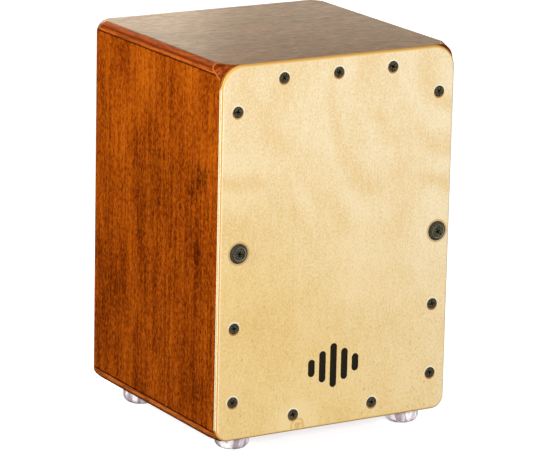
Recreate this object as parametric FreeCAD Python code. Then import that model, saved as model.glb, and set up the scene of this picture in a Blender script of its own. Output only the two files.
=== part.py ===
import FreeCAD, Part
import math
import os

os.makedirs("parts", exist_ok=True)

# A small box drum that stands on four clear feet. Millimetres, +Z up, the player's
# side (the tapa) faces -Y. The origin is on the floor, under the middle of the whole.

# Box
box_width = 222.0             # across the two side panels
box_height = 314.4            # underside of the bottom panel to the top face
box_depth = 211.4             # back of the tapa to the back of the box
panel_thickness = 8.5         # top, bottom and sides
edge_round = 5.5              # the four long edges, front to back
rear_rim_round = 3.0          # the rim around the back
front_ease_length = 13.0      # the front corners are eased over this length
front_ease_upper = 13.5       # and reach this radius at the tapa, upper pair
front_ease_lower = 8.0        # lower pair
rear_ease_length = 11.0       # the same at the back
rear_ease_upper = 13.0
rear_ease_lower = 8.0

# Tapa, the thin front plate that is played
tapa_thickness = 4.2
tapa_upper_corner = 20.0
tapa_lower_corner = 11.0
tapa_edge_round = 2.4         # around the front face

# Back panel, let in between the four panels
back_thickness = 4.0
back_inset = 3.5              # behind the rear rim
sound_hole_diameter = 96.0
sound_hole_rise = 18.0        # hole centre above the middle of the box
sound_hole_round = 1.2        # both edges of the hole
rear_batten = 12.0            # square section

# Front battens, which the tapa is screwed to
front_batten_width = 16.0
front_batten_depth = 15.0

# Tapa screws, countersunk, cross recess, drilled by hand and so not quite even
side_screw_offset = 6.5       # from the inner face of the side panel
left_screw_drop = 38.2        # upper side screw below the top of the box
right_screw_drop = 38.8
left_screw_rises = (95.8, 33.1)     # lower side screws above the underside
right_screw_rises = (93.2, 32.8)
top_screw_offset = 5.4        # below the inner face of the top panel
top_screw_places = (-53.4, -1.7, 50.2)
bottom_screw_offset = 6.2     # above the inner face of the bottom panel
bottom_screw_places = (-38.0, 38.5)
tapa_screw_head = 9.4
tapa_screw_rim = 0.4          # the straight edge of the head
tapa_screw_shank = 4.0
tapa_screw_bite = 13.5        # into the batten
tapa_screw_proud = 0.25       # head above the face of the tapa
screw_play = 0.05             # radial, around every fixed screw

# Snare screws, which draw the snare bar up behind the tapa
snare_screw_shank = 5.0
snare_screw_head = 10.0
snare_screw_rim = 0.5
snare_hole_play = 0.3         # radial, through the tapa and the battens
thread_play = 0.05            # radial, in the threaded inserts
left_snare_offset = 9.6       # from the inner face of the side panel
left_snare_rise = 1.4         # above the middle of the box
right_snare_gap = 0.4          # from the right insert's flange to the side panel
right_snare_rise = -1.1
cup_diameter = 16.7
cup_ridge = 12.6              # diameter of the raised ring
cup_height = 2.4
cup_foot = 0.6                # thickness at the outer edge
cup_play = 0.2                # radial, between the cup and the head
head_below_ridge = 0.5

# Snare bar and what it carries
snare_travel = 2.4            # how far the bar backs away; the screws then end at its inserts
bar_gap = 0.5                 # between the bar and the battens when drawn up
bar_depth = 10.0
bar_height = 20.0
bar_end_gap = 2.0             # to each side panel
bar_chamfer = 1.0
insert_wall = 0.8             # of the barrel
insert_flange_reach = 0.5     # flange past the barrel
insert_flange_thickness = 1.2
insert_barrel_length = 8.0
block_width = 38.0
block_height = 16.0
block_place = 44.0            # centre of each block from the middle
plate_thickness = 1.6
plate_height = 10.0
plate_screw_head = 5.0
plate_screw_shank = 2.6
plate_screw_length = 9.0
plate_screw_spacing = 24.0
strand_diameter = 1.6
strand_count = 10
strand_pitch = 3.2
strand_length = 88.0
strand_clearance = 0.6        # behind the tapa when drawn up
strip_height = 5.0            # the bar that joins the free ends

# Feet
foot_height = 13.5
foot_diameter = 28.8
foot_round = 6.0              # lower edge
front_left_foot = (81.0, 21.5)      # across from the middle, and behind the back of the tapa
front_right_foot = (83.5, 19.0)
rear_foot = (89.0, 46.0)            # both; ahead of the back of the box
foot_recess = 11.5
foot_recess_depth = 7.0
foot_washer_thickness = 1.0
foot_washer_diameter = 10.5
foot_screw_head = 8.0
foot_screw_head_height = 2.6
foot_screw_shank = 4.0
foot_screw_bite = 6.5         # into the bottom panel

# Worked out
half_width = box_width / 2
overall_depth = box_depth + tapa_thickness + cup_height
back_y = overall_depth / 2
tapa_back_y = back_y - box_depth
tapa_front_y = tapa_back_y - tapa_thickness
box_floor = foot_height
box_top = foot_height + box_height
inner_half = half_width - panel_thickness
inner_floor = box_floor + panel_thickness
inner_top = box_top - panel_thickness
middle_z = box_floor + box_height / 2
batten_back_y = tapa_back_y + front_batten_depth
panel_back_y = back_y - back_inset
panel_front_y = panel_back_y - back_thickness
bar_front_y = batten_back_y + bar_gap
bar_back_y = bar_front_y + bar_depth
strand_y = tapa_back_y + strand_clearance + strand_diameter / 2
snare_z = middle_z + (left_snare_rise + right_snare_rise) / 2
tapa_screw_length = tapa_screw_proud + tapa_thickness + tapa_screw_bite
insert_bore = snare_screw_shank / 2 + thread_play
insert_barrel = snare_screw_shank / 2 + insert_wall
insert_flange = insert_barrel + insert_flange_reach
right_snare_offset = insert_flange + right_snare_gap
insert_back_y = bar_back_y + insert_flange_thickness
head_top_y = tapa_front_y - cup_height + head_below_ridge
snare_screw_length = insert_back_y + snare_travel - head_top_y
head_seat_depth = tapa_front_y - head_top_y - snare_screw_rim
tapa_snare_hole = snare_screw_head / 2 - head_seat_depth + snare_hole_play
snare_hole = snare_screw_shank / 2 + snare_hole_play
foot_screw_start = foot_recess_depth - foot_washer_thickness
foot_screw_length = foot_height - foot_screw_start + foot_screw_bite

parts = {}


def vec(x, y, z):
    return FreeCAD.Vector(x, y, z)


def block(x0, x1, y0, y1, z0, z1):
    # A box between two corners
    return Part.makeBox(x1 - x0, y1 - y0, z1 - z0, vec(x0, y0, z0))


def chamfered(shape, size, along):
    # Breaks the edges that run along one axis
    edges = []
    for edge in shape.Edges:
        start, end = edge.Vertexes[0].Point, edge.Vertexes[-1].Point
        if abs((end - start).dot(along)) > 0.9 * edge.Length:
            edges.append(edge)
    return shape.makeChamfer(size, edges)


def round_rod(x, z, y0, y1, radius):
    # A cylinder along Y
    return Part.makeCylinder(radius, y1 - y0, vec(x, y0, z), vec(0, 1, 0))


def turned(profile, centre, axis):
    # A solid turned from (radius, distance along the axis) points
    across = vec(1, 0, 0)
    points = [centre + across * r + axis * d for r, d in profile]
    face = Part.Face(Part.makePolygon(points + points[:1]))
    return face.revolve(centre, axis, 360)


def outline(y, upper, lower):
    # The rounded rectangle of the box in the plane y, with its two pairs of corner radii
    x = half_width
    low = box_floor
    high = box_top
    a = lower * (1 - math.sqrt(0.5))
    b = upper * (1 - math.sqrt(0.5))
    edges = []
    stations = [
        ((-x + lower, low), (x - lower, low), (x - a, low + a), (x, low + lower)),
        ((x, low + lower), (x, high - upper), (x - b, high - b), (x - upper, high)),
        ((x - upper, high), (-x + upper, high), (-x + b, high - b), (-x, high - upper)),
        ((-x, high - upper), (-x, low + lower), (-x + a, low + a), (-x + lower, low)),
    ]
    for first, second, middle, third in stations:
        start, end, bend, finish = [vec(p[0], y, p[1]) for p in (first, second, middle, third)]
        edges.append(Part.LineSegment(start, end).toShape())
        edges.append(Part.Arc(end, bend, finish).toShape())
    return Part.Wire(edges)


def stretch(y0, radii0, y1, radii1):
    # A length of the box whose corner radii run evenly from one pair to the other
    return Part.makeLoft([outline(y0, *radii0), outline(y1, *radii1)], True, True)


def rim_edges(shape, y):
    # The edges that lie in the plane y
    return [e for e in shape.Edges if all(abs(v.Point.y - y) < 1e-6 for v in e.Vertexes)]


def envelope():
    # The outside of the box: straight in the middle, eased corners at both ends
    ease_front = tapa_back_y + front_ease_length
    ease_rear = back_y - rear_ease_length
    plain = (edge_round, edge_round)
    shape = stretch(tapa_back_y, (front_ease_upper, front_ease_lower), ease_front, plain)
    shape = shape.fuse(stretch(ease_front, plain, ease_rear, plain))
    rear = stretch(ease_rear, plain, back_y, (rear_ease_upper, rear_ease_lower))
    rear = rear.makeFillet(rear_rim_round, rim_edges(rear, back_y))
    return shape.fuse(rear)


def cross_recess(x, z, y, turn, width, depth):
    # Two tapered slots that cross, cut into a head whose top is at y
    arms = []
    for angle in (turn, turn + 90):
        half = width / 2
        low = width * 0.22
        side = width * 0.1
        points = [vec(-half, -0.5, -side), vec(half, -0.5, -side)]
        points += [vec(low, depth, -side), vec(-low, depth, -side)]
        arm = Part.Face(Part.makePolygon(points + points[:1])).extrude(vec(0, 0, 2 * side))
        arm.rotate(vec(0, 0, 0), vec(0, 1, 0), angle)
        arm.translate(vec(x, y, z))
        arms.append(arm)
    return arms[0].fuse(arms[1])


def countersunk_screw(x, z, top, head, rim, shank, length, turn):
    # A countersunk screw along +Y whose head ends at y = top
    sink = (head - shank) / 2
    point = shank * 0.5
    profile = [(0, 0), (head / 2 - 0.3, 0), (head / 2, 0.2), (head / 2, rim)]
    profile += [(shank / 2, rim + sink), (shank / 2, length - point), (shank * 0.15, length), (0, length)]
    body = turned(profile, vec(x, top, z), vec(0, 1, 0))
    return body.cut(cross_recess(x, z, top, turn, head * 0.56, sink * 0.95))


def countersunk_hole(x, z, face, depth, head, rim, shank, play, proud):
    # The space for such a screw, with play around it
    sink = (head - shank) / 2
    r = shank / 2 + play
    top = head / 2 + play
    start = face - 1.0
    edge = face - proud + rim
    profile = [(0, start - face), (top, start - face), (top, edge - face)]
    profile += [(r, edge - face + sink), (r, depth), (0, depth)]
    return turned(profile, vec(x, face, z), vec(0, 1, 0))


def keep(name, shape):
    parts[name] = shape.removeSplitter()


def tapa_screw_places():
    # Every tapa screw as (x, z)
    side = inner_half - side_screw_offset
    places = [(-side, box_top - left_screw_drop), (side, box_top - right_screw_drop)]
    places += [(-side, box_floor + rise) for rise in left_screw_rises]
    places += [(side, box_floor + rise) for rise in right_screw_rises]
    places += [(x, inner_top - top_screw_offset) for x in top_screw_places]
    places += [(x, inner_floor + bottom_screw_offset) for x in bottom_screw_places]
    return places


def foot_places():
    # Every foot as (name, x, y)
    places = [("front_left", -front_left_foot[0], tapa_back_y + front_left_foot[1])]
    places.append(("front_right", front_right_foot[0], tapa_back_y + front_right_foot[1]))
    places.append(("rear_left", -rear_foot[0], back_y - rear_foot[1]))
    places.append(("rear_right", rear_foot[0], back_y - rear_foot[1]))
    return places


snare_screws = {
    "left": (left_snare_offset - inner_half, middle_z + left_snare_rise),
    "right": (inner_half - right_snare_offset, middle_z + right_snare_rise),
}
screw_places = tapa_screw_places()


def cut_all(shape, tools):
    for tool in tools:
        shape = shape.cut(tool)
    return shape


# Panels: the top and bottom lie over the ends of the sides
outside = envelope()
reach = overall_depth


def slab(x0, x1, z0, z1):
    # The part of the outside that lies between two upright and two level planes
    return outside.common(block(x0, x1, -reach, reach, z0, z1))


bottom_panel = slab(-half_width, half_width, box_floor, inner_floor)
foot_pilots = []
for name, x, y in foot_places():
    deep = 1 + foot_screw_bite + screw_play
    foot_pilots.append(Part.makeCylinder(foot_screw_shank / 2 + screw_play, deep, vec(x, y, box_floor - 1)))
keep("bottom_panel", cut_all(bottom_panel, foot_pilots))
keep("top_panel", slab(-half_width, half_width, inner_top, box_top))
keep("left_side_panel", slab(-half_width, -inner_half, inner_floor, inner_top))
keep("right_side_panel", slab(inner_half, half_width, inner_floor, inner_top))

# Back panel with its sound hole
back = block(-inner_half, inner_half, panel_front_y, panel_back_y, inner_floor, inner_top)
hole_z = middle_z + sound_hole_rise
back = back.cut(round_rod(0, hole_z, panel_front_y - 1, panel_back_y + 1, sound_hole_diameter / 2))
hole_edges = [e for e in back.Edges if e.Curve.TypeId == "Part::GeomCircle"]
keep("back_panel", back.makeFillet(sound_hole_round, hole_edges))

# Rear battens, glued inside the corner between each panel and the back
rear_front_y = panel_front_y - rear_batten
for name, sign in (("left", -1), ("right", 1)):
    x0, x1 = sorted((sign * (inner_half - rear_batten), sign * inner_half))
    batten = block(x0, x1, rear_front_y, panel_front_y, inner_floor, inner_top)
    keep("rear_batten_" + name, batten)
for name, z0 in (("bottom", inner_floor), ("top", inner_top - rear_batten)):
    x1 = inner_half - rear_batten
    batten = block(-x1, x1, rear_front_y, panel_front_y, z0, z0 + rear_batten)
    keep("rear_batten_" + name, batten)

# Front battens with pilot holes
pilots = []
for x, z in screw_places:
    end = tapa_front_y - tapa_screw_proud + tapa_screw_length + screw_play
    pilots.append(round_rod(x, z, tapa_back_y - 1, end, tapa_screw_shank / 2 + screw_play))
for x, z in snare_screws.values():
    pilots.append(round_rod(x, z, tapa_back_y - 1, batten_back_y + 1, snare_hole))
for name, sign in (("left", -1), ("right", 1)):
    x0, x1 = sorted((sign * (inner_half - front_batten_width), sign * inner_half))
    batten = block(x0, x1, tapa_back_y, batten_back_y, inner_floor, inner_top)
    keep("front_batten_" + name, cut_all(batten, pilots))
for name, z0 in (("bottom", inner_floor), ("top", inner_top - front_batten_width)):
    x1 = inner_half - front_batten_width
    batten = block(-x1, x1, tapa_back_y, batten_back_y, z0, z0 + front_batten_width)
    keep("front_batten_" + name, cut_all(batten, pilots))

# Tapa
tapa = Part.Face(outline(tapa_front_y, tapa_upper_corner, tapa_lower_corner)).extrude(vec(0, tapa_thickness, 0))
tapa = tapa.makeFillet(tapa_edge_round, rim_edges(tapa, tapa_front_y))
tapa_tools = []
for x, z in screw_places:
    tapa_tools.append(countersunk_hole(x, z, tapa_front_y, tapa_thickness + 1, tapa_screw_head,
                                       tapa_screw_rim, tapa_screw_shank, screw_play, tapa_screw_proud))
for x, z in snare_screws.values():
    tapa_tools.append(round_rod(x, z, tapa_front_y - 1, tapa_back_y + 1, tapa_snare_hole))
keep("tapa", cut_all(tapa, tapa_tools))

# Tapa screws, each left at its own angle
screws = []
for number, (x, z) in enumerate(screw_places):
    turn = 10 + 37 * number
    screws.append(countersunk_screw(x, z, tapa_front_y - tapa_screw_proud, tapa_screw_head,
                                    tapa_screw_rim, tapa_screw_shank, tapa_screw_length, turn))
parts["tapa_screws"] = Part.makeCompound(screws)


def cup_washer(x, z):
    # A cup that stands on the tapa, with a raised ring around the sunk head
    opening = snare_screw_head / 2 + cup_play
    ridge = cup_ridge / 2
    outer = cup_diameter / 2
    inner = opening - head_seat_depth
    profile = [(opening, cup_height - 0.3), (opening + 0.3, cup_height), (ridge, cup_height)]
    profile += [(ridge + 0.45, cup_height - 0.3), (ridge + 0.95, cup_foot + 0.55)]
    profile += [(outer - 0.3, cup_foot), (outer, cup_foot * 0.5), (outer, 0)]
    profile += [(inner, 0), (opening, head_seat_depth)]
    return turned(profile, vec(x, tapa_front_y, z), vec(0, -1, 0))


# Snare screws in their cup washers
for side, (x, z) in snare_screws.items():
    turn = 12 if side == "left" else 68
    screw = countersunk_screw(x, z, head_top_y, snare_screw_head, snare_screw_rim,
                              snare_screw_shank, snare_screw_length, turn)
    keep("snare_screw_" + side, screw)
    keep("cup_washer_" + side, cup_washer(x, z))

# Snare bar behind the battens, with a threaded insert for each screw
bar_end = inner_half - bar_end_gap
bar = block(-bar_end, bar_end, bar_front_y, bar_back_y, snare_z - bar_height / 2, snare_z + bar_height / 2)
bar = chamfered(bar, bar_chamfer, vec(1, 0, 0))
barrel_start = bar_back_y - insert_barrel_length
bar_tools = []
for side, (x, z) in snare_screws.items():
    bar_tools.append(round_rod(x, z, bar_front_y - 1, barrel_start, snare_hole))
    bar_tools.append(round_rod(x, z, barrel_start, bar_back_y + 1, insert_barrel + screw_play))
    insert = round_rod(x, z, barrel_start, bar_back_y, insert_barrel)
    insert = insert.fuse(round_rod(x, z, bar_back_y, insert_back_y, insert_flange))
    bore = round_rod(x, z, barrel_start - 1, insert_back_y + 1, insert_bore)
    keep("threaded_insert_" + side, insert.cut(bore))
keep("snare_bar", cut_all(bar, bar_tools))

# Snare sets: a block on the bar, a plate on the block, strands up to a strip that joins them
plate_back_y = strand_y + strand_diameter / 2
plate_front_y = plate_back_y - plate_thickness
plate_half = strand_pitch * (strand_count - 1) / 2 + strand_diameter
plate_top = snare_z + plate_height / 2
plate_screws = []
for side, sign in (("left", -1), ("right", 1)):
    centre = sign * block_place
    wood = block(centre - block_width / 2, centre + block_width / 2, plate_back_y, bar_front_y,
                 snare_z - block_height / 2, snare_z + block_height / 2)
    plate = block(centre - plate_half, centre + plate_half, plate_front_y, plate_back_y,
                  plate_top - plate_height, plate_top)
    for x in (centre - plate_screw_spacing / 2, centre + plate_screw_spacing / 2):
        space = countersunk_hole(x, snare_z, plate_front_y, plate_screw_length + screw_play,
                                 plate_screw_head, 0.1, plate_screw_shank, screw_play, 0)
        wood = wood.cut(space)
        plate = plate.cut(space)
        plate_screws.append(countersunk_screw(x, snare_z, plate_front_y, plate_screw_head, 0.1,
                                              plate_screw_shank, plate_screw_length, 20 + x))
    keep("snare_block_" + side, wood)
    keep("snare_plate_" + side, plate)
    strands = []
    for number in range(strand_count):
        x = centre + strand_pitch * (number - (strand_count - 1) / 2)
        base = vec(x, strand_y, plate_top)
        strands.append(Part.makeCylinder(strand_diameter / 2, strand_length, base))
    parts["snare_strands_" + side] = Part.makeCompound(strands)
    strip_base = plate_top + strand_length
    keep("snare_strip_" + side, block(centre - plate_half, centre + plate_half, plate_front_y, plate_back_y,
                                      strip_base, strip_base + strip_height))
parts["snare_plate_screws"] = Part.makeCompound(plate_screws)

# Feet, each with a washer and a screw up into the bottom panel
up = vec(0, 0, 1)
foot_radius = foot_diameter / 2
recess = foot_recess / 2
foot_hole = foot_screw_shank / 2 + snare_hole_play
flat = foot_radius - foot_round
low = foot_round * (1 - math.sqrt(0.5))
washers = []
foot_screws = []
for name, x, y in foot_places():
    half = [(foot_hole, foot_height), (foot_radius, foot_height), (foot_radius, foot_round)]
    inner = [(flat, 0), (recess, 0), (recess, foot_recess_depth), (foot_hole, foot_recess_depth)]
    points = [vec(x + r, y, z) for r, z in half]
    end_points = [vec(x + r, y, z) for r, z in inner]
    edges = [Part.LineSegment(a, b).toShape() for a, b in zip(points, points[1:])]
    corner = vec(x + foot_radius - low, y, low)
    edges.append(Part.Arc(points[-1], corner, end_points[0]).toShape())
    edges += [Part.LineSegment(a, b).toShape() for a, b in zip(end_points, end_points[1:] + points[:1])]
    foot = Part.Face(Part.Wire(edges)).revolve(vec(x, y, 0), up, 360)
    keep("foot_" + name, foot)
    washer = Part.makeCylinder(foot_washer_diameter / 2, foot_washer_thickness, vec(x, y, foot_screw_start))
    washers.append(washer.cut(Part.makeCylinder(foot_hole, foot_height, vec(x, y, 0))))
    crown = foot_screw_head / 2
    shank = foot_screw_shank / 2
    profile = [(0, 0), (crown - 1.2, 0), (crown - 0.4, 0.5), (crown, 1.4), (crown, foot_screw_head_height)]
    tip = foot_screw_head_height + foot_screw_length
    profile += [(shank, foot_screw_head_height), (shank, tip - shank), (0.4, tip), (0, tip)]
    screw = turned(profile, vec(x, y, foot_screw_start - foot_screw_head_height), up)
    slot = cross_recess(0, 0, 0, 30, foot_screw_head * 0.5, foot_screw_head_height * 0.7)
    slot.rotate(vec(0, 0, 0), vec(1, 0, 0), 90)
    slot.translate(vec(x, y, foot_screw_start - foot_screw_head_height))
    foot_screws.append(screw.cut(slot))
parts["foot_washers"] = Part.makeCompound(washers)
parts["foot_screws"] = Part.makeCompound(foot_screws)

for name, shape in parts.items():
    shape.exportStep("parts/" + name + ".step")
    print(name, len(shape.Solids), round(shape.Volume, 1))
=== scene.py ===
import bpy
import math
import numpy as np
from mathutils import Matrix, Vector


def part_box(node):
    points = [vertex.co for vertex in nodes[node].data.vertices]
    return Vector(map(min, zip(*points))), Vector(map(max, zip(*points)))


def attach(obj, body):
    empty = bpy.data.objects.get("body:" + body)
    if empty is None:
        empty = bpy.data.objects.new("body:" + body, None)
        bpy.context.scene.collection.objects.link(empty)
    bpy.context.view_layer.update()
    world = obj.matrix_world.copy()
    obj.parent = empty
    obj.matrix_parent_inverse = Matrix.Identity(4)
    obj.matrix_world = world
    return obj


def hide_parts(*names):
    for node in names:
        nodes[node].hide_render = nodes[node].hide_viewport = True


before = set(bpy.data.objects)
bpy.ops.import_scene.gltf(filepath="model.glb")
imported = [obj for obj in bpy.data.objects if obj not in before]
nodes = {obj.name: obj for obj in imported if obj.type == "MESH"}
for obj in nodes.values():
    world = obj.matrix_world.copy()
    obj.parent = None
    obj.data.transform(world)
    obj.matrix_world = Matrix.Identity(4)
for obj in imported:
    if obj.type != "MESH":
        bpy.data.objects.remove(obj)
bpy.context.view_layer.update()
print("frame loaded:", len(nodes), "nodes")

mm = 0.001
white = (1.0, 1.0, 1.0, 1.0)
scene = bpy.context.scene
scene.view_settings.view_transform = "Standard"   # colours as they are set, with no film curve

# Places that the pieces share, all taken from the frame
tapaLow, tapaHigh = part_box("tapa")
topLow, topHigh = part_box("top_panel")
bottomLow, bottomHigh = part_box("bottom_panel")
boxLow = Vector((topLow.x, tapaHigh.y, bottomLow.z))
boxHigh = Vector((topHigh.x, topHigh.y, topHigh.z))

cameraSettings = {
    "place": (-1.4942, -2.4954, 0.9159),
    "yaw": -30.993,          # degrees, negative looks to the right
    "pitch": -14.554,
    "roll": 1.275,
    "lens": 232.24,
    "sensor": 36.0,
    "farClip": 50.0,
}


def makeCamera(s):
    yaw, pitch, roll = (math.radians(s[k]) for k in ("yaw", "pitch", "roll"))
    ahead = Vector((-math.sin(yaw) * math.cos(pitch), math.cos(yaw) * math.cos(pitch), math.sin(pitch)))
    level = ahead.cross(Vector((0, 0, 1))).normalized()
    upright = level.cross(ahead)
    right = level * math.cos(roll) + upright * math.sin(roll)
    up = upright * math.cos(roll) - level * math.sin(roll)
    data = bpy.data.cameras.new("camera")
    data.lens = s["lens"]
    data.sensor_width = s["sensor"]
    data.clip_end = s["farClip"]
    camera = bpy.data.objects.new("camera", data)
    turn = Matrix((right, up, -ahead)).transposed().to_4x4()
    camera.matrix_world = Matrix.Translation(s["place"]) @ turn
    scene.collection.objects.link(camera)
    scene.camera = camera


makeCamera(cameraSettings)
print("camera placed")


# Shader building: put() adds a node, sets its properties and fills its sockets,
# linking the values that are sockets and setting the rest
def put(tree, kind, sockets=None, **settings):
    made = tree.nodes.new(kind)
    for key, value in settings.items():
        setattr(made, key, value)
    for key, value in (sockets or {}).items():
        if isinstance(value, bpy.types.NodeSocket):
            tree.links.new(value, made.inputs[key])
        else:
            made.inputs[key].default_value = value
    return made


def calc(tree, operation, a, b=0.0):
    return put(tree, "ShaderNodeMath", {0: a, 1: b}, operation=operation).outputs[0]


def add(tree, a, b):
    return calc(tree, "ADD", a, b)


def minus(tree, a, b):
    return calc(tree, "SUBTRACT", a, b)


def times(tree, a, b):
    return calc(tree, "MULTIPLY", a, b)


def weighted(tree, first, *others):
    # Sum of values, each times its own share
    total = times(tree, *first)
    for value, share in others:
        total = add(tree, total, times(tree, value, share))
    return total


def smooth(tree, value, low, high, fromValue=0.0, toValue=1.0):
    # Eased step from one value to the other while the input goes from low to high
    fit = put(tree, "ShaderNodeMapRange", {"Value": value, "From Min": low, "From Max": high,
                                           "To Min": fromValue, "To Max": toValue},
              interpolation_type="SMOOTHSTEP")
    return fit.outputs["Result"]


def between(tree, value, start, full, fade, end):
    # Rises from start to full, holds at one, and falls from fade to end
    return times(tree, smooth(tree, value, start, full), smooth(tree, value, fade, end, 1.0, 0.0))


def noise(tree, place, scale, offset=(0, 0, 0), detail=4.0, rough=0.55, distortion=0.0):
    # Cloudy noise, with one scale for all axes or one for each, in repeats per metre
    moved = put(tree, "ShaderNodeMapping", {"Vector": place, "Scale": np.full(3, scale, float).tolist(),
                                            "Location": offset}).outputs[0]
    made = put(tree, "ShaderNodeTexNoise", {"Vector": moved, "Scale": 1.0, "Detail": detail,
                                            "Roughness": rough, "Distortion": distortion})
    return made.outputs["Fac"]


def grainNoise(tree, place, grain, across, along, **rest):
    # Noise that is drawn out along the grain, which runs along the x or z axis
    scale = [across] * 3
    scale["xyz".index(grain)] = along
    return noise(tree, place, scale, **rest)


def blendColour(tree, share, a, b):
    return put(tree, "ShaderNodeMix", {0: share, 6: a, 7: b}, data_type="RGBA").outputs[2]


def ramp(tree, value, tints, stops):
    # Each stop is a place from 0 to 1 and the name of one of the tints
    made = put(tree, "ShaderNodeValToRGB", {"Fac": value})
    points = made.color_ramp.elements
    while len(points) < len(stops):
        points.new(0.5)
    for point, (place, tint) in zip(points, stops):
        point.position = place
        point.color = tints[tint]
    return made.outputs["Color"]


def srgb(*screen):
    # Screen colour, 0 to 255, as the linear colour that a shader takes
    shares = [c / 255 for c in screen]
    return (*[c / 12.92 if c <= 0.04045 else ((c + 0.055) / 1.055) ** 2.4 for c in shares], 1.0)


def newMaterial(name, **fixed):
    material = bpy.data.materials.new(name)
    material.use_nodes = True
    tree = material.node_tree
    shader = tree.nodes["Principled BSDF"]
    for key, value in fixed.items():
        shader.inputs[key.replace("_", " ")].default_value = value
    return material, tree, shader


def finishMaterial(tree, shader, colour, rough, height, depth):
    # Colour, roughness and bump; depth is in metres
    tree.links.new(colour, shader.inputs["Base Color"])
    tree.links.new(rough, shader.inputs["Roughness"])
    bump = put(tree, "ShaderNodeBump", {"Height": height, "Distance": depth, "Strength": 1.0})
    tree.links.new(bump.outputs[0], shader.inputs["Normal"])


def dress(material, *names):
    for name in names:
        mesh = nodes[name].data
        mesh.materials.clear()
        mesh.materials.append(material)


def objectSpace(tree):
    return put(tree, "ShaderNodeTexCoord").outputs["Object"]


def splitAxes(tree, vector):
    parts = put(tree, "ShaderNodeSeparateXYZ", {0: vector})
    return parts.outputs[0], parts.outputs[1], parts.outputs[2]


def hypotenuse(tree, a, b):
    return calc(tree, "SQRT", add(tree, times(tree, a, a), times(tree, b, b)))


def reach(tree, a, b, middle):
    # Distance in a plane from a middle point
    return hypotenuse(tree, minus(tree, a, middle[0]), minus(tree, b, middle[1]))


def envelopeDepth(tree, x, z, low, high, radius):
    # How far a point lies inside a rounded rectangle in the XZ plane, in metres:
    # the radius less the distance to the rectangle that is smaller by the radius
    outX, outZ = (minus(tree, calc(tree, "ABSOLUTE", minus(tree, axis, (a + b) / 2)), (b - a) / 2 - radius)
                  for axis, a, b in ((x, low.x, high.x), (z, low.z, high.z)))
    far = hypotenuse(tree, calc(tree, "MAXIMUM", outX, 0.0), calc(tree, "MAXIMUM", outZ, 0.0))
    inner = calc(tree, "MINIMUM", calc(tree, "MAXIMUM", outX, outZ), 0.0)
    return minus(tree, radius, add(tree, far, inner))


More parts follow.
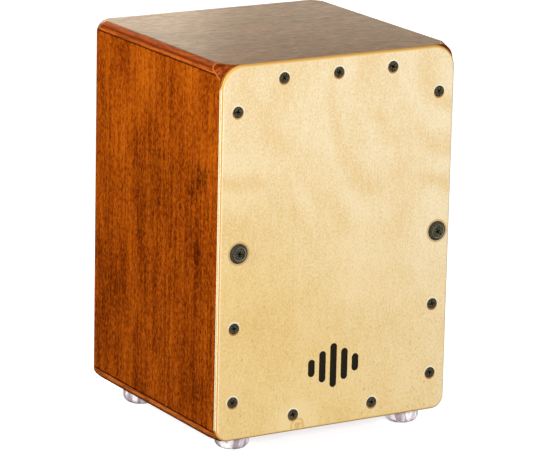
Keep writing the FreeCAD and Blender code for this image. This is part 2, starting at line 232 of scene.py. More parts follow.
# Stained and lacquered plywood. Noises are in repeats per metre, across the grain and along it.
stain = {
    "light": srgb(196, 100, 8),
    "mid": srgb(159, 69, 3),
    "deep": srgb(118, 45, 0),
    "dark": srgb(62, 18, 0),
    # Painted shade: the grey-brown that the top panel's colour is dimmed towards
    "paintedShade": srgb(50, 42, 22),
    "toneStops": ((0.34, "dark"), (0.445, "deep"), (0.515, "mid"), (0.632, "light")),
    "blotch": {"across": 26, "along": 13, "detail": 5, "rough": 0.6, "distortion": 0.4},
    "streak": {"across": 230, "along": 11, "offset": (3, 1, 2), "detail": 5, "rough": 0.6,
               "distortion": 0.15},
    "fibre": {"across": 470, "along": 250, "detail": 3, "rough": 0.8},
    "coarse": {"across": 200, "along": 80, "offset": (0, 4, 1), "detail": 4, "rough": 0.7},
    "pores": {"across": 420, "along": 120, "offset": (7, 0, 5), "detail": 2, "rough": 0.5},
    "dashes": {"across": 560, "along": 130, "offset": (2, 9, 1), "detail": 4, "rough": 0.7},
    "poreRange": (0.62, 0.72),
    "poreStrength": 0.6,
    "paintedShadeRange": (0.3, 0.7),
    "paintedShadeSpread": 1.3,
    "footShade": (-0.018, 0.016),               # painted shade: tone added at the foot and at the head
    "roughRange": (0.35, 0.65),
    "roughness": (0.31, 0.39),
    "dashRange": (0.4, 0.58),
    "gloss": (0.153, 0.391),
    "scar": srgb(70, 20, 0),
    "scarCore": 0.2,                         # share of a scar's size that is fully dark
    "scarRagged": 2.4,                       # how far the streaks pull its outline, in sizes
    "scarFibre": (0.4, 0.62, 1.0, 0.45),     # range of the fibre noise, and scar left at each end
    # Back from the middle of the side, up from the lower edge, size, strength
    "scars": (
        (-74.3 * mm, 216.0 * mm, 17 * mm, 0.8), (-62.0 * mm, 201.5 * mm, 13 * mm, 0.7),
        (-69.3 * mm, 152.5 * mm, 12 * mm, 0.8), (6.0 * mm, 186.5 * mm, 55 * mm, 0.4),
    ),
    "plyBright": srgb(208, 114, 44),
    "plyLight": srgb(216, 114, 40),
    "plyMid": srgb(178, 80, 20),
    "plyDark": srgb(112, 44, 11),
    "plyGrain": {"scale": (60, 60, 900), "detail": 5, "rough": 0.7},
    "plyStreaks": (0.4, 0.62, 0.0, 0.8),     # noise ranges, and the dark that each lays over
    "plyFibre": (0.5, 0.8, 0.0, 0.6),
    "plyEdge": (0.05 * mm, 0.3 * mm),        # depth at which the face gives way to the plies
    "topPlies": ((0.0, "plyMid"), (0.3, "plyMid"), (0.42, "plyDark"), (0.5, "plyDark"), (0.6, "plyMid"),
                 (0.82, "plyLight"), (0.92, "plyMid"), (0.96, "joint"), (1.0, "joint")),
    "bottomPlies": ((0.0, "joint"), (0.3, "plyDark"), (0.44, "plyMid"), (0.56, "plyBright"),
                    (0.8, "plyBright"), (0.9, "plyMid"), (0.95, "joint"), (1.0, "joint")),
    "joint": srgb(42, 14, 3),
    "jointHalf": (0.25 * mm, 0.9 * mm),      # solid and faded half widths of a glue line
    "wobble": 1.2 * mm,                      # how far streaks shift the plies and glue lines
    "cut": srgb(126, 50, 11),
    "cutLight": srgb(176, 88, 30),
    "cutStops": ((0.34, "dark"), (0.5, "cut"), (0.68, "cutLight")),
    "cutGrain": {"scale": (150, 260, 620), "detail": 5, "rough": 0.7},
    # Depths inside the uncut outline: start, full, fade, end
    "cutDepth": (0.12 * mm, 0.3 * mm, 6.0 * mm, 6.5 * mm),
    # Painted highlight along the edge where the cut begins: tint, depths and strength
    "cutEdgeHighlight": srgb(204, 116, 48),
    "edgeHighlightDepth": (0.04 * mm, 0.12 * mm, 0.22 * mm, 0.4 * mm),
    "edgeHighlightStrength": 0.85,
    "easeLength": 14 * mm,                   # how far an eased corner runs back from the tapa
    "edgeRound": 5.5 * mm,                   # corner radius of the uncut outline
}

stainedPanels = {
    "stainedSides": {"nodes": ("left_side_panel", "right_side_panel"), "grain": "z",
                     "plies": None, "dim": 0.0, "bump": 0.16 * mm},
    "stainedTop": {"nodes": ("top_panel",), "grain": "x",
                   "plies": (topHigh.z, topLow.z, "topPlies"), "dim": 0.6, "bump": 0.005 * mm},
    "stainedBottom": {"nodes": ("bottom_panel",), "grain": "x",
                      "plies": (bottomLow.z, bottomHigh.z, "bottomPlies"), "dim": 0.0, "bump": 0.16 * mm},
    "stainedBack": {"nodes": ("back_panel",), "grain": "z",
                    "plies": None, "dim": 0.0, "bump": 0.16 * mm},
}


def addScars(tree, colour, place, streak, fibre, s):
    # Ragged dark scars in the face leaf of the left side panel
    x, y, z = splitAxes(tree, place)
    onLeft = calc(tree, "LESS_THAN", x, 0.0)
    for back, up, size, strength in s["scars"]:
        ragged = times(tree, minus(tree, streak, 0.5), s["scarRagged"] * size)
        around = add(tree, reach(tree, y, z, (back, boxLow.z + up)), ragged)
        scar = times(tree, smooth(tree, around, s["scarCore"] * size, size, strength, 0.0),
                     smooth(tree, fibre, *s["scarFibre"]))
        colour = blendColour(tree, times(tree, scar, onLeft), colour, s["scar"])
    return colour


def addPlies(tree, colour, place, wobble, fibre, plies, s):
    # Plies show wherever the surface leaves the face: the depth below the face picks them
    face, inner, stops = plies
    below = calc(tree, "ABSOLUTE", minus(tree, splitAxes(tree, place)[2], face))
    share = calc(tree, "DIVIDE", add(tree, below, wobble), abs(face - inner))
    bands = ramp(tree, share, s, s[stops])
    endGrain = noise(tree, place, **s["plyGrain"])
    bands = blendColour(tree, smooth(tree, endGrain, *s["plyStreaks"]), bands, s["plyDark"])
    bands = blendColour(tree, smooth(tree, fibre, *s["plyFibre"]), bands, s["plyDark"])
    return blendColour(tree, smooth(tree, below, *s["plyEdge"]), colour, bands)


def addJoints(tree, colour, place, wobble, s):
    # Dark glue lines where an upright panel meets the top and the bottom
    z = splitAxes(tree, place)[2]
    gapTop = calc(tree, "ABSOLUTE", minus(tree, z, topLow.z))
    gapBottom = calc(tree, "ABSOLUTE", minus(tree, z, bottomHigh.z))
    gap = add(tree, calc(tree, "MINIMUM", gapTop, gapBottom), wobble)
    return blendColour(tree, smooth(tree, gap, *s["jointHalf"], 1.0, 0.0), colour, s["joint"])


def addEasedCorners(tree, colour, place, s):
    # Upper front corners are eased by hand: end grain, with a painted highlight as a pale line where the
    # cut begins
    x, y, z = splitAxes(tree, place)
    depth = envelopeDepth(tree, x, z, boxLow, boxHigh, s["edgeRound"])
    eased = times(tree, calc(tree, "LESS_THAN", y, tapaHigh.y + s["easeLength"]),
                  calc(tree, "GREATER_THAN", z, (boxLow.z + boxHigh.z) / 2))
    cutColour = ramp(tree, noise(tree, place, **s["cutGrain"]), s, s["cutStops"])
    cut = times(tree, between(tree, depth, *s["cutDepth"]), eased)
    colour = blendColour(tree, cut, colour, cutColour)
    # Painted highlight: a pale line along the edge where the cut begins
    rim = times(tree, between(tree, depth, *s["edgeHighlightDepth"]), eased)
    return blendColour(tree, times(tree, rim, s["edgeHighlightStrength"]), colour, s["cutEdgeHighlight"])


def stainedWood(name, panel, s):
    material, tree, shader = newMaterial(name)
    place = objectSpace(tree)
    blotch, streak, fibre, coarse, dots, dashes = (
        grainNoise(tree, place, panel["grain"], **s[kind])
        for kind in ("blotch", "streak", "fibre", "coarse", "pores", "dashes"))
    # Painted shade: the colour darkens towards the foot of the box and lightens at its head
    footShade = smooth(tree, splitAxes(tree, place)[2], boxLow.z, boxHigh.z, *s["footShade"])
    tone = weighted(tree, (blotch, 0.26), (streak, 0.26), (fibre, 0.5), (footShade, 1.0))
    colour = ramp(tree, tone, s, s["toneStops"])
    pores = smooth(tree, dots, *s["poreRange"])
    colour = blendColour(tree, times(tree, pores, s["poreStrength"]), colour, s["dark"])
    colour = addScars(tree, colour, place, streak, fibre, s)
    # Painted shade: the top panel's colour is dimmed towards a grey-brown, more where the coarse noise is
    # high; the other panels take none
    dim = smooth(tree, coarse, *s["paintedShadeRange"], panel["dim"], panel["dim"] * s["paintedShadeSpread"])
    colour = blendColour(tree, dim, colour, s["paintedShade"])
    wobble = times(tree, minus(tree, streak, 0.5), s["wobble"])
    if panel["plies"]:
        colour = addPlies(tree, colour, place, wobble, fibre, panel["plies"], s)
    else:
        colour = addJoints(tree, colour, place, wobble, s)
    colour = addEasedCorners(tree, colour, place, s)
    uneven = weighted(tree, (fibre, 0.4), (coarse, 0.6))
    rough = smooth(tree, uneven, *s["roughRange"], *s["roughness"])
    height = weighted(tree, (fibre, 0.5), (coarse, 0.12), (pores, -0.6))
    # Lacquer sinks into the pores, which leaves short dull dashes along the grain
    gloss = smooth(tree, dashes, *s["dashRange"], *s["gloss"])
    tree.links.new(gloss, shader.inputs["Specular IOR Level"])
    finishMaterial(tree, shader, colour, rough, height, panel["bump"])
    return material


for name, panel in stainedPanels.items():
    dress(stainedWood(name, panel, stain), *panel["nodes"])
print("stained panels done")


# The birch playing plate. Noises are in repeats per metre along x, y and z.
tapaSettings = {
    "light": srgb(255, 240, 205),
    "mid": srgb(250, 229, 186),
    "deep": srgb(241, 208, 150),
    # Darker, warmer tints for the painted shade towards the foot
    "lowLight": srgb(247, 219, 160),
    "lowMid": srgb(241, 208, 142),
    "lowDeep": srgb(228, 190, 116),
    "upperStops": ((0.39, "deep"), (0.5, "mid"), (0.6, "light")),
    "shadedLowerStops": ((0.39, "lowDeep"), (0.5, "lowMid"), (0.6, "lowLight")),
    "sway": {"scale": (7, 1, 6), "offset": (2, 0, 1), "detail": 2, "rough": 0.4},
    "cloud": {"scale": (24, 1, 15), "offset": (5, 0, 3), "detail": 4},
    "grain": {"scale": (260, 60, 90), "detail": 4, "rough": 0.65},
    "fibre": {"scale": (640, 300, 430), "detail": 3, "rough": 0.8},
    "figureSlant": (15.0, 11.0, 5.0),        # bands per metre across and up, and bands of sway
    "figureWidth": 0.4,                      # of a line, where half a band is 0.5
    "figureCloud": (0.35, 0.6),
    "figureRise": (126.5 * mm, 206.5 * mm),  # above the lower edge, where the figure comes in
    "fleck": srgb(190, 144, 84),
    "fleckNoise": {"scale": (420, 60, 190), "offset": (1, 0, 4), "detail": 2},
    "fleckRange": (0.64, 0.74),
    "fleckStrength": 0.5,
    "fleckTop": 0.6,                         # share of the height where the flecks thin out
    "fleckThin": 0.15,                       # share of them that is left there
    "lean": (1.3, 0.2),                      # sideways slope of the painted shade at the foot, low and high
    "leanInset": 15 * mm,
    "knot": (-34.0 * mm, 5.0 * mm),          # across, and above the lower edge
    "knotRing": 2.4 * mm,
    "knotHeart": (8 * mm, 18 * mm),
    "knotFlow": (13 * mm, 36 * mm),
    "knotRagged": 12 * mm,
    # Painted highlight round each small screw, and painted shadow below its head
    "halo": srgb(255, 248, 224),
    "shadowCrescent": srgb(186, 112, 30),
    "screwRings": ((0.0, 1.5 * mm, "halo"), (0.7 * mm, 0.8 * mm, "shadowCrescent")),   # drop, width, tint
    "screwRingSolid": 0.4,                   # share of the width before a ring fades
    "screwRingStrength": 0.9,
    # Pressed ring and painted contact shadow round each cup washer
    "pressedShadow": srgb(196, 150, 88),
    "pressedRing": (1.0 * mm, 2.2 * mm),     # solid and faded widths outside the cup washer
    "pressedStrength": 0.65,
    "veneer": srgb(255, 242, 205),
    "backLeaf": srgb(255, 240, 202),
    "core": srgb(208, 156, 82),
    "coreDark": srgb(190, 138, 66),
    "plies": ((0.0, "veneer"), (0.05, "veneer"), (0.09, "core"), (0.24, "core"), (0.3, "veneer"),
              (0.42, "veneer"), (0.48, "coreDark"), (0.58, "core"), (0.64, "backLeaf"),
              (0.94, "backLeaf"), (1.0, "coreDark")),
    # Painted shade for the edges that face up or down
    "shadedPale": srgb(238, 200, 128),
    "shadedMid": srgb(216, 164, 86),
    "shadedDark": srgb(164, 106, 44),
    "shadedPlies": ((0.0, "shadedPale"), (0.03, "shadedPale"), (0.09, "shadedMid"), (0.38, "shadedMid"),
                 (0.5, "shadedDark"), (1.0, "shadedDark")),
    "plyFibre": (0.45, 0.8, 0.0, 0.5),
    "shadeFacing": (0.03, 0.15),               # up or down share of the facing that takes the painted shade
    "faceLeaf": (0.06 * mm, 0.24 * mm),      # depth at which the face gives way to the plies
    "roughness": (0.34, 0.5),
    "bump": 0.06 * mm,
}


def middleOf(node):
    # Middle of a node's box, across and up
    low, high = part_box(node)
    return (low.x + high.x) / 2, (low.z + high.z) / 2


def screwMiddles(node):
    # Middles and head radius of like screws in one node: sorted by height and parted
    # where the height jumps, then the same across
    jump = 5 * mm
    points = np.empty(len(nodes[node].data.vertices) * 3)
    nodes[node].data.vertices.foreach_get("co", points)
    flat = points.reshape(-1, 3)[:, [0, 2]]
    flat = flat[np.argsort(flat[:, 1])]
    middles = []
    for row in np.split(flat, np.flatnonzero(np.diff(flat[:, 1]) > jump) + 1):
        row = row[np.argsort(row[:, 0])]
        for head in np.split(row, np.flatnonzero(np.diff(row[:, 0]) > jump) + 1):
            low, high = head.min(axis=0), head.max(axis=0)
            middles.append(((low + high) / 2).tolist())
    return middles, (high[0] - low[0]) / 2


def figureLines(tree, place, cloud, s):
    # Rotary-cut leaf: bands follow the height lines of a slow sway across a slant,
    # over the upper half only
    x, _, z = splitAxes(tree, place)
    across, up, swayBands = s["figureSlant"]
    sway = noise(tree, place, **s["sway"])
    level = weighted(tree, (x, across), (z, up), (sway, swayBands))
    line = smooth(tree, calc(tree, "PINGPONG", level, 0.5), 0.0, s["figureWidth"], 1.0, 0.0)
    upperHalf = smooth(tree, z, *(boxLow.z + height for height in s["figureRise"]))
    return times(tree, times(tree, line, upperHalf), smooth(tree, cloud, *s["figureCloud"]))


def knotFigure(tree, place, cloud, s):
    # One small knot at the lower edge: a dark heart, and paler wood that flows round it
    x, _, z = splitAxes(tree, place)
    across, up = s["knot"]
    bent = add(tree, reach(tree, x, z, (across, boxLow.z + up)), times(tree, cloud, s["knotRagged"]))
    rings = smooth(tree, calc(tree, "PINGPONG", bent, s["knotRing"]), 0.0, s["knotRing"])
    heart = times(tree, smooth(tree, bent, *s["knotHeart"], 1.0, 0.0), rings)
    return heart, smooth(tree, bent, *s["knotFlow"], 1.0, 0.0)


def leafColourAndShade(tree, place, tone, s):
    # Painted shade: the leaf is darker and warmer towards the foot and the left edge, and paler at the
    # head
    x, _, z = splitAxes(tree, place)
    inset = s["leanInset"]
    tilt = smooth(tree, z, boxLow.z, boxHigh.z, *s["lean"])
    lean = add(tree, z, times(tree, x, tilt))
    upward = smooth(tree, lean, boxLow.z + inset, boxHigh.z - inset)
    colour = blendColour(tree, upward, ramp(tree, tone, s, s["shadedLowerStops"]),
                         ramp(tree, tone, s, s["upperStops"]))
    lower = smooth(tree, z, boxLow.z, boxHigh.z * s["fleckTop"], 1.0, s["fleckThin"])
    flecks = times(tree, smooth(tree, noise(tree, place, **s["fleckNoise"]), *s["fleckRange"]), lower)
    return blendColour(tree, times(tree, flecks, s["fleckStrength"]), colour, s["fleck"])


def addScrewHighlightsAndShadows(tree, colour, place, s):
    # Round each small screw: a painted highlight as a pale ring, and a painted shadow as a brown crescent
    # below the head
    x, _, z = splitAxes(tree, place)
    middles, radius = screwMiddles("tapa_screws")
    flat = put(tree, "ShaderNodeCombineXYZ", {0: x, 2: z}).outputs[0]
    for drop, width, tint in s["screwRings"]:
        nearest = 1.0
        for across, up in middles:
            far = put(tree, "ShaderNodeVectorMath", {0: flat, 1: (across, 0.0, up - drop)},
                      operation="DISTANCE").outputs["Value"]
            nearest = calc(tree, "MINIMUM", nearest, far)
        solid = s["screwRingSolid"] * width
        ring = smooth(tree, nearest, radius + solid, radius + width, s["screwRingStrength"], 0.0)
        colour = blendColour(tree, ring, colour, s[tint])
    return colour


def addPressedShadowRings(tree, colour, place, s):
    # Each cup washer has pressed a ring into the lacquer, and painted contact shadow darkens it slightly
    x, _, z = splitAxes(tree, place)
    for washer in ("cup_washer_left", "cup_washer_right"):
        low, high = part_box(washer)
        out = reach(tree, x, z, middleOf(washer))
        start, end = ((high.x - low.x) / 2 + width for width in s["pressedRing"])
        ring = smooth(tree, out, start, end, s["pressedStrength"], 0.0)
        colour = blendColour(tree, ring, colour, s["pressedShadow"])
    return colour


def addTapaPlies(tree, colour, place, fibre, s):
    # Plies by their depth behind the front face
    y = splitAxes(tree, place)[1]
    deep = minus(tree, y, tapaLow.y)
    share = calc(tree, "DIVIDE", deep, tapaHigh.y - tapaLow.y)
    bands = ramp(tree, share, s, s["plies"])
    bands = blendColour(tree, smooth(tree, fibre, *s["plyFibre"]), bands, s["coreDark"])
    # Painted shade: the edges that face up or down, at the head and foot, are darker
    facing = splitAxes(tree, put(tree, "ShaderNodeNewGeometry").outputs["Normal"])[2]
    upDownShade = smooth(tree, calc(tree, "ABSOLUTE", facing), *s["shadeFacing"])
    bands = blendColour(tree, upDownShade, bands, ramp(tree, share, s, s["shadedPlies"]))
    edge = smooth(tree, add(tree, deep, times(tree, upDownShade, s["faceLeaf"][1])), *s["faceLeaf"])
    return blendColour(tree, edge, colour, bands)


def tapaWood(s):
    material, tree, shader = newMaterial("tapaBirch", Specular_IOR_Level=0.4)
    place = objectSpace(tree)
    cloud, grain, fibre = (noise(tree, place, **s[kind]) for kind in ("cloud", "grain", "fibre"))
    line = figureLines(tree, place, cloud, s)
    heart, flow = knotFigure(tree, place, cloud, s)
    tone = weighted(tree, (cloud, 0.24), (grain, 0.16), (fibre, 0.6), (line, -0.1),
                    (flow, 0.13), (heart, -0.36))
    colour = leafColourAndShade(tree, place, tone, s)
    colour = addScrewHighlightsAndShadows(tree, colour, place, s)
    colour = addPressedShadowRings(tree, colour, place, s)
    colour = addTapaPlies(tree, colour, place, fibre, s)
    rough = smooth(tree, fibre, 0.2, 0.8, *s["roughness"])
    finishMaterial(tree, shader, colour, rough, weighted(tree, (fibre, 0.6), (grain, 0.4)), s["bump"])
    return material


dress(tapaWood(tapaSettings), "tapa")
print("tapa done")


blackScrews = {
    "dark": srgb(60, 56, 43),
    "light": srgb(154, 146, 115),
    # Painted shade inside the cross recess
    "recess": srgb(8, 8, 6),
    "recessDepth": (0.15 * mm, 0.7 * mm),    # behind the front of the head
    "metallic": 0.6,
    "scale": 900,
    "roughness": (0.28, 0.48),
    "bump": 0.03 * mm,
}


def camel(node):
    first, *rest = node.split("_")
    return first + "".join(word.title() for word in rest) + "Metal"


def screwMetal(node, s):
    # Blackened steel, with painted shade darkest inside the cross recess
    material, tree, shader = newMaterial(camel(node), Metallic=s["metallic"])
    place = objectSpace(tree)
    speck = noise(tree, place, s["scale"], rough=0.65)
    colour = ramp(tree, speck, s, ((0.4, "dark"), (0.62, "light")))
    behind = minus(tree, splitAxes(tree, place)[1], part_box(node)[0].y)
    colour = blendColour(tree, smooth(tree, behind, *s["recessDepth"]), colour, s["recess"])
    finishMaterial(tree, shader, colour, smooth(tree, speck, 0.3, 0.7, *s["roughness"]), speck, s["bump"])
    return material


for node in ("tapa_screws", "snare_screw_left", "snare_screw_right"):
    dress(screwMetal(node, blackScrews), node)


cupWashers = {
    "dark": srgb(52, 49, 41),
    "light": srgb(90, 86, 73),
    # Worn paint and a painted highlight on the cup's ridge
    "worn": srgb(178, 174, 160),
    "wearHighlightRing": (5.1 * mm, 5.4 * mm, 5.6 * mm, 6.0 * mm),    # radii: start, full, fade, end
    "wearHighlightSpeck": (0.3, 0.55, 0.35, 0.85),                    # noise range, and wear with painted highlight at each end
    "metallic": 0.3,
    "scale": 700,
    "roughness": (0.28, 0.42),
    "bump": 0.02 * mm,
}


def washerMetal(node, s):
    # Satin black with a pale ring where the cup meets the screw head: worn paint, and a painted highlight
    # on the cup's ridge
    material, tree, shader = newMaterial(camel(node), Metallic=s["metallic"])
    place = objectSpace(tree)
    x, _, z = splitAxes(tree, place)
    speck = noise(tree, place, s["scale"], rough=0.65)
    colour = ramp(tree, speck, s, ((0.35, "dark"), (0.65, "light")))
    out = reach(tree, x, z, middleOf(node))
    wearAndGlint = times(tree, between(tree, out, *s["wearHighlightRing"]), smooth(tree, speck, *s["wearHighlightSpeck"]))
    colour = blendColour(tree, wearAndGlint, colour, s["worn"])
    finishMaterial(tree, shader, colour, smooth(tree, speck, 0.3, 0.7, *s["roughness"]), speck, s["bump"])
    return material


for node in ("cup_washer_left", "cup_washer_right"):
    dress(washerMetal(node, cupWashers), node)


brightMetals = {
    "zincSteel": {"dark": srgb(150, 152, 155), "light": srgb(205, 207, 210), "roughness": (0.2, 0.4),
                  "scale": 500, "bump": 0.01 * mm},
    "brass": {"dark": srgb(160, 125, 66), "light": srgb(214, 178, 104), "roughness": (0.24, 0.44),
              "scale": 300, "bump": 0.01 * mm},
    "snareWire": {"dark": srgb(150, 150, 152), "light": srgb(212, 212, 214), "roughness": (0.17, 0.33),
                  "scale": 1200, "bump": 0.004 * mm},
}


def speckled(name, s, metallic):
    # Mottled between two tints, with a finer noise for the bump
    material, tree, shader = newMaterial(name, Metallic=metallic)
    place = objectSpace(tree)
    coarse = noise(tree, place, s["scale"], detail=5, rough=0.6)
    fine = noise(tree, place, s["scale"] * 6, detail=3, rough=0.7)
    both = weighted(tree, (coarse, 0.6), (fine, 0.4))
    colour = ramp(tree, both, s, ((0.35, "dark"), (0.65, "light")))
    finishMaterial(tree, shader, colour, smooth(tree, both, 0.3, 0.7, *s["roughness"]), fine, s["bump"])
    return material


zinc, brass, wire = (speckled(name, s, 1.0) for name, s in brightMetals.items())
dress(zinc, "threaded_insert_left", "threaded_insert_right", "snare_plate_screws",
      "foot_washers", "foot_screws")
dress(brass, "snare_plate_left", "snare_plate_right", "snare_strip_left", "snare_strip_right")


pine = {
    "light": srgb(222, 186, 132),
    "dark": srgb(184, 140, 84),
    "rings": {"across": 90, "along": 4, "rough": 0.5, "distortion": 0.5},
    "fibre": {"across": 900, "along": 40, "rough": 0.7},
    "roughness": (0.6, 0.8),
    "bump": 0.1 * mm,
}


def bareWood(name, grain, s):
    material, tree, shader = newMaterial(name, Specular_IOR_Level=0.25)
    place = objectSpace(tree)
    rings, fibre = (grainNoise(tree, place, grain, **s[kind]) for kind in ("rings", "fibre"))
    tone = weighted(tree, (rings, 0.7), (fibre, 0.3))
    colour = ramp(tree, tone, s, ((0.35, "dark"), (0.62, "light")))
    finishMaterial(tree, shader, colour, smooth(tree, fibre, 0.2, 0.8, *s["roughness"]), tone, s["bump"])
    return material


dress(bareWood("pineUpright", "z", pine), "front_batten_left", "front_batten_right",
      "rear_batten_left", "rear_batten_right")
dress(bareWood("pineLevel", "x", pine), "front_batten_top", "front_batten_bottom", "rear_batten_top",
      "rear_batten_bottom", "snare_bar", "snare_block_left", "snare_block_right")


clearFoot = {
    "deep": srgb(204, 188, 195),
    "pale": srgb(252, 246, 248),
    "outline": srgb(164, 142, 148),
    "streak": {"scale": (150, 150, 45), "detail": 3, "rough": 0.5, "distortion": 0.8},
    "glow": (0.44, 0.6, 0.0, 0.4),              # range of the streaks, and painted glow at each end
    "rim": (0.4 * mm, 2.2 * mm, 0.75, 0.0),     # heights, and the painted shade outline's strength at each
    # Painted shade at the shoulder under the box
    "shoulder": (8.5 * mm, 13.0 * mm, 0.0, 0.6),
    "clear": 0.25,
    "ior": 1.38,
    "scale": 800,
    "roughness": (0.06, 0.2),
    "bump": 0.03 * mm,
}


def clearPlastic(name, s):
    # Painted light: the clear foot glows in upright streaks with pale painted highlights, and painted
    # shade darkens its lower rim and its shoulder under the box
    material, tree, shader = newMaterial(name, Transmission_Weight=s["clear"], IOR=s["ior"])
    place = objectSpace(tree)
    height = splitAxes(tree, place)[2]
    streak = noise(tree, place, **s["streak"])
    speck = noise(tree, place, s["scale"], detail=3)
    paintedShade = calc(tree, "MAXIMUM", smooth(tree, height, *s["rim"]), smooth(tree, height, *s["shoulder"]))
    colour = ramp(tree, streak, s, ((0.38, "deep"), (0.58, "pale")))
    colour = blendColour(tree, paintedShade, colour, s["outline"])
    glow = times(tree, smooth(tree, streak, *s["glow"]), minus(tree, 1.0, paintedShade))
    tree.links.new(colour, shader.inputs["Emission Color"])
    tree.links.new(glow, shader.inputs["Emission Strength"])
    finishMaterial(tree, shader, colour, smooth(tree, speck, 0.3, 0.7, *s["roughness"]), speck, s["bump"])
    return material


dress(clearPlastic("clearFoot", clearFoot), "foot_front_left", "foot_front_right",
      "foot_rear_left", "foot_rear_right")
print("fittings done")


def meshPiece(name, points, faces, material, body):
    mesh = bpy.data.meshes.new(name)
    mesh.from_pydata(points.reshape(-1, 3).tolist(), [], faces)
    mesh.materials.append(material)
    piece = bpy.data.objects.new(name, mesh)
    scene.collection.objects.link(piece)
    mesh.validate()
    mesh.shade_smooth()
    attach(piece, body)
    return piece


def tubeFaces(rings, around, copies):
    # Quads between neighbouring rings and a cap on either end, for several like tubes
    i, j = np.meshgrid(np.arange(rings - 1), np.arange(around), indexing="ij")
    a, b = i * around + j, i * around + (j + 1) % around
    quads = np.stack([a, b, b + around, a + around], -1).reshape(-1, 4)
    loop = np.arange(around)
    caps = np.stack([loop[::-1], loop + (rings - 1) * around])
    step = (np.arange(copies) * rings * around)[:, None, None]
    return (quads + step).reshape(-1, 4).tolist() + (caps + step).reshape(-1, around).tolist()


snareCoil = {
    "wire": 0.24 * mm,        # radius of the wire
    "pitch": 1.5 * mm,
    "stepsPerTurn": 12,
    "sides": 6,
}


def coiledStrands(name, cadNode, s):
    # Each strand is a helix along Z, radius R: centre (R cos t, R sin t, pitch t / 2 pi),
    # with a ring of the wire's radius square to the helix at every step.
    # Strands stand two diameters apart across the set.
    low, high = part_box(cadNode)
    diameter = high.y - low.y
    radius = diameter / 2 - s["wire"]
    count = round((high.x - low.x - diameter) / (2 * diameter)) + 1
    turns = (high.z - low.z - 2 * s["wire"]) / s["pitch"]
    steps = int(turns * s["stepsPerTurn"])
    t = np.linspace(0, 2 * np.pi * turns, steps)
    v = np.linspace(0, 2 * np.pi, s["sides"], endpoint=False)
    out = np.stack([np.cos(t), np.sin(t), 0 * t], 1)
    rise = s["pitch"] / (2 * np.pi)
    tangent = np.stack([-radius * np.sin(t), radius * np.cos(t), 0 * t + rise], 1)
    tangent /= np.linalg.norm(tangent, axis=1, keepdims=True)
    side = np.cross(tangent, out)
    middle = radius * out + np.stack([0 * t, 0 * t, rise * t + low.z + s["wire"]], 1)
    ring = np.cos(v)[None, :, None] * out[:, None] + np.sin(v)[None, :, None] * side[:, None]
    tube = middle[:, None] + s["wire"] * ring
    shift = np.zeros((count, 1, 1, 3))
    shift[:, 0, 0, 0] = np.linspace(low.x + diameter / 2, high.x - diameter / 2, count)
    shift[:, 0, 0, 1] = (low.y + high.y) / 2
    faces = tubeFaces(steps, s["sides"], count)
    piece = meshPiece(name, tube[None] + shift, faces, wire, "snare_carriage")
    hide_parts(cadNode)


coiledStrands("snareCoilsLeft", "snare_strands_left", snareCoil)
coiledStrands("snareCoilsRight", "snare_strands_right", snareCoil)
print("snare wires done")


printedMark = {
    "heights": (15, 27, 38, 27, 15),         # bars, millimetres
    "width": 6.4 * mm,
    "pitch": 10.6 * mm,
    "centre": (0.0, 52.2 * mm),              # across, and above the underside of the box
    "thickness": 0.06 * mm,
    "bevel": 0.1 * mm,                       # how far the last ring is drawn in
    "ringDepths": (0.0, 0.7, 1.0),           # shares of the thickness, from wood to front
    "cornerSteps": 16,
    "dark": srgb(32, 27, 18),
    "light": srgb(48, 41, 30),
    "roughness": (0.42, 0.58),
    "scale": 600,
    "bump": 0.01 * mm,
}


def markBars(s):
    # Upright bars with round ends. Round an outline, x = middle + r cos a and
    # z = middle + r sin a, raised by the stem over the upper half and lowered by it over
    # the lower half. Three such rings, the last drawn in by the bevel, run from wood to front.
    ink = speckled("printInk", s, 0.0)
    half = s["width"] / 2
    upper = np.linspace(0, np.pi, s["cornerSteps"])
    angle = np.concatenate([upper, upper + np.pi])[::-1]
    side = np.repeat([-1, 1], s["cornerSteps"])
    heights = np.array(s["heights"]) * mm
    number = np.arange(len(heights)) - (len(heights) - 1) / 2
    middleX = (s["centre"][0] + number * s["pitch"])[:, None, None]
    stem = (heights / 2 - half)[:, None, None]
    r = half - np.array([0.0, 0.0, s["bevel"]])[:, None]
    forward = np.array(s["ringDepths"])[:, None] * s["thickness"]
    z = boxLow.z + s["centre"][1] + stem * side + r * np.sin(angle)
    points = np.stack([middleX + r * np.cos(angle) + 0 * z, tapaLow.y - forward + 0 * z, z], -1)
    faces = tubeFaces(len(r), len(angle), len(heights))
    meshPiece("printedMark", points, faces, ink, "box")


markBars(printedMark)
print("printed mark done")


stage = {
    "floorSize": 30.0,
    "floorTint": (0.9, 0.9, 0.9, 1.0),
    "floorGlow": 0.7,
    "world": 0.2,
}


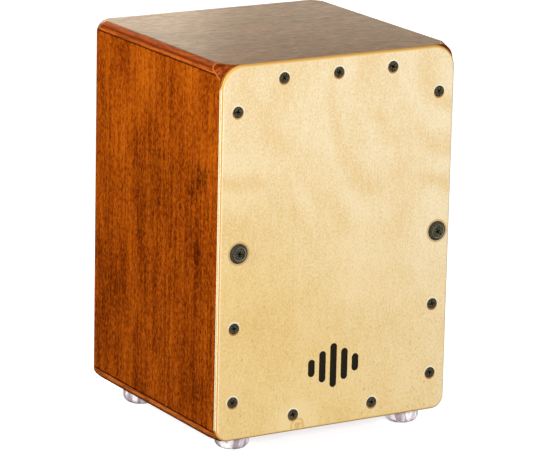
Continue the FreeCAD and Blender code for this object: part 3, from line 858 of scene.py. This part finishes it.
def makeStage(s):
    half = s["floorSize"] / 2
    mesh = bpy.data.meshes.new("floor")
    mesh.from_pydata([(-half, -half, 0), (half, -half, 0), (half, half, 0), (-half, half, 0)], [],
                     [(0, 1, 2, 3)])
    floor = bpy.data.objects.new("floor", mesh)
    scene.collection.objects.link(floor)
    material = newMaterial("paleFloor", Base_Color=s["floorTint"], Roughness=0.9, Specular_IOR_Level=0.0,
                           Emission_Color=white, Emission_Strength=s["floorGlow"])[0]
    mesh.materials.append(material)
    floor.visible_glossy = False
    floor.visible_diffuse = False
    # The sky only fills: it isn't mirrored, so stained wood keeps its depth of colour
    world = bpy.data.worlds.new("world")
    world.use_nodes = True
    sky = world.node_tree.nodes["Background"]
    sky.inputs["Color"].default_value = white
    sky.inputs["Strength"].default_value = s["world"]
    scene.world = world
    world.cycles_visibility.glossy = False


lights = {
    # place, aim, size across and up, colour, power, seen in reflections
    "keySoftbox": ((-0.35, -2.7, 1.0), (0, 0, 0.2), (1.6, 1.2), (1, 1, 1), 60, False),
    "glintCard": ((-0.35, -2.7, 1.0), (0, 0, 0.2), (1.6, 1.2), (1, 1, 1), 7, True),
    "sideSoftbox": ((-1.0, -0.1, 0.6), (0, 0, 0.28), (0.6, 0.5), (1, 1, 1), 10.3, False),
    "rearFill": ((1.6, 2.0, 1.2), (0, 0, 0.2), (1.6, 1.2), (1, 1, 1), 10, False),
    "rearCard": ((0.2, 0.45, 0.42), (0, 0, 0.33), (0.6, 0.14), (1, 0.84, 0.62), 0.57, True),
    "rearLeftCard": ((0.06, 0.86, 0.5), (-0.02, 0, 0.33), (0.7, 0.26), (1, 0.86, 0.67), 1.15, True),
}


def makeLights(settings):
    for name, (place, aim, size, colour, power, shiny) in settings.items():
        data = bpy.data.lights.new(name, "AREA")
        data.shape = "RECTANGLE"
        data.size, data.size_y = size
        data.energy = power
        data.color = colour
        lamp = bpy.data.objects.new(name, data)
        lamp.location = place
        lamp.rotation_euler = (Vector(aim) - Vector(place)).to_track_quat("-Z", "Y").to_euler()
        lamp.visible_glossy = shiny
        lamp.visible_camera = False
        scene.collection.objects.link(lamp)


makeStage(stage)
makeLights(lights)
print("stage and lights done")
